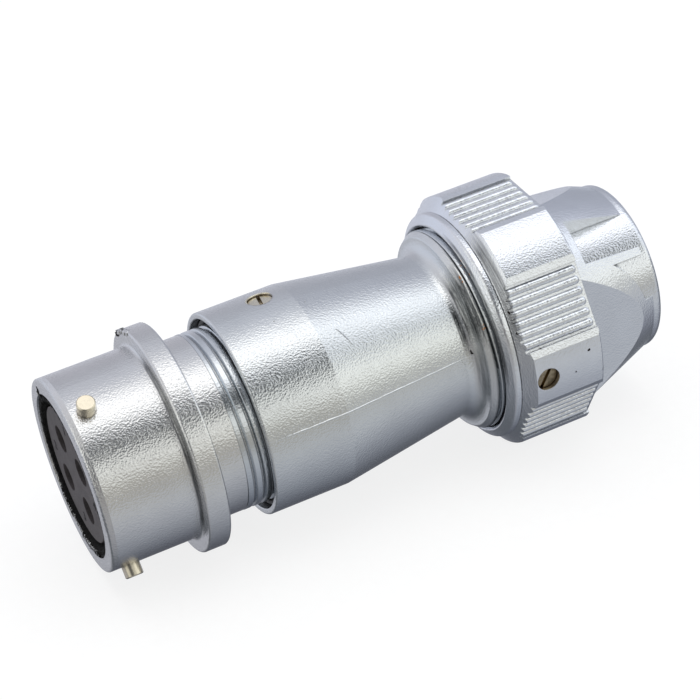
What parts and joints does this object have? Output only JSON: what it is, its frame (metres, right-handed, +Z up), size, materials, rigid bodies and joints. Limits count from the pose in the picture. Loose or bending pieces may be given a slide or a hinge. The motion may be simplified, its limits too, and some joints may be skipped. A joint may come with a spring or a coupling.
{
  "type": "circular cable connector",
  "caption": "Cable plug with a bayonet nose, a tapered metal backshell and a knurled hexagonal clamping nut.",
  "frame": {"origin": "centre of the mating face, on the axis of the connector", "axes": "+X along the axis from the mating face to the cable end, +Z up, -Y the side with the nut's set screw"},
  "size_m": [0.0859, 0.0374, 0.0356],
  "materials": {
    "plated_casting": "satin nickel plating over a die casting",
    "nickel_pin": "satin",
    "black_lining": "rough",
    "dark_insert": "matt",
    "contact_metal": "silver plated",
    "spring_steel": "satin",
    "seal_rubber": "matt",
    "grommet_rubber": "matt",
    "washer_plastic": "matt",
    "nickel_screw": "satin",
    "brass_screw": "worn"
  },
  "bodies": {
    "shell": {"front_shell": "plated_casting", "bayonet_pin_1": "nickel_pin", "bayonet_pin_2": "nickel_pin", "bayonet_pin_3": "nickel_pin", "keyed_lining": "black_lining", "contact_insert": "dark_insert", "contact_retainer": "dark_insert", "socket_contact_1": "contact_metal", "socket_contact_2": "contact_metal", "socket_contact_3": "contact_metal", "socket_contact_4": "contact_metal", "retaining_ring": "spring_steel"},
    "seal": {"joint_seal": "seal_rubber"},
    "body": {"backshell": "plated_casting", "backshell_set_screw": "nickel_screw", "cable_grommet": "grommet_rubber"},
    "washer": {"thrust_washer": "washer_plastic"},
    "nut": {"clamping_nut": "plated_casting", "nut_set_screw": "brass_screw"}
  },
  "joints": [
    {"name": "backshell_advance", "type": "slide", "parent": "shell", "child": "seal", "axis": [1, 0, 0], "range_m": [0, 0.00675]},
    {"name": "backshell_turn", "type": "hinge", "parent": "seal", "child": "body", "pos_m": [0, 0, 0], "axis": [1, 0, 0], "range_deg": [0, 1800]},
    {"name": "nut_advance", "type": "slide", "parent": "body", "child": "washer", "axis": [1, 0, 0], "range_m": [0, 0.006]},
    {"name": "nut_turn", "type": "hinge", "parent": "washer", "child": "nut", "pos_m": [0, 0, 0], "axis": [1, 0, 0], "range_deg": [0, 1440]}
  ],
  "couplings": [
    {"joint": "backshell_advance", "follows": "backshell_turn", "m_per_rad": 0.00021486},
    {"joint": "nut_advance", "follows": "nut_turn", "m_per_rad": 0.00023873}
  ]
}
